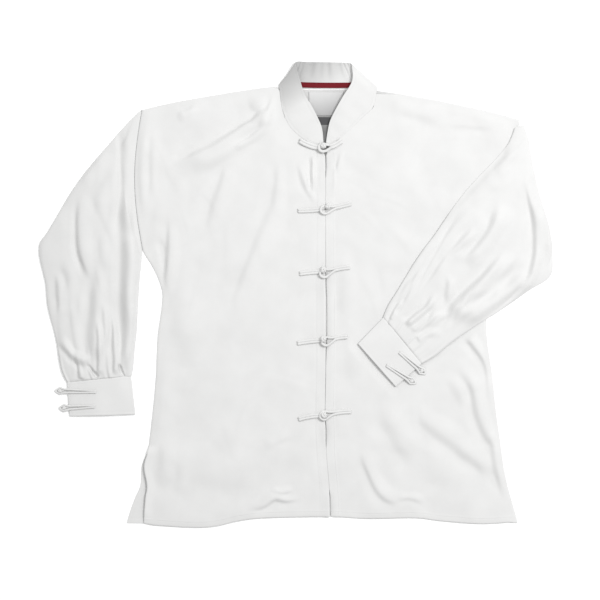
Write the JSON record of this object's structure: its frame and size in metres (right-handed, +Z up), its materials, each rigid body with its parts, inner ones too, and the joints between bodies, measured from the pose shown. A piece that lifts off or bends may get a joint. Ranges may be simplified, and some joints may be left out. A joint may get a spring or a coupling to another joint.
{
  "type": "tai chi jacket",
  "caption": "White cotton tai chi jacket laid flat, standing collar, knotted cord closures down the front and at the cuffs, long gathered sleeves, the left sleeve folded over the front",
  "frame": {"origin": "middle of the laid-out jacket's outline, on the floor that it lies on", "axes": "+X to the wearer's left, +Y from hem to collar, +Z up from the floor"},
  "size_m": [0.8731, 0.7906, 0.022],
  "materials": {
    "body_cotton": "thin white plain-weave cotton, matt",
    "band_cotton": "white cotton in two layers over an interlining, topstitched",
    "cord_cotton": "white bias-cut cotton cord, sewn round",
    "crimson_tape": "dark red twill tape",
    "label_satin": "white woven label, bare, faint satin sheen",
    "dark_tab": "small black woven tab, bare"
  },
  "bodies": {
    "root": {"back": "body_cotton", "front_right": "body_cotton", "front_left": "body_cotton", "sleeve_right": "body_cotton", "sleeve_left": "body_cotton", "cuff_right": "band_cotton", "cuff_left": "band_cotton", "collar": "band_cotton", "neck_tape": "crimson_tape", "neck_label": "label_satin", "size_tab": "dark_tab", "frog_1_knot": "cord_cotton", "frog_1_loop": "cord_cotton", "frog_2_knot": "cord_cotton", "frog_2_loop": "cord_cotton", "frog_3_knot": "cord_cotton", "frog_3_loop": "cord_cotton", "frog_4_knot": "cord_cotton", "frog_4_loop": "cord_cotton", "frog_5_knot": "cord_cotton", "frog_5_loop": "cord_cotton", "cuff_right_loop_1": "cord_cotton", "cuff_right_knot_1": "cord_cotton", "cuff_right_loop_2": "cord_cotton", "cuff_right_knot_2": "cord_cotton", "cuff_left_loop_1": "cord_cotton", "cuff_left_knot_1": "cord_cotton", "cuff_left_loop_2": "cord_cotton", "cuff_left_knot_2": "cord_cotton"}
  },
  "joints": []
}
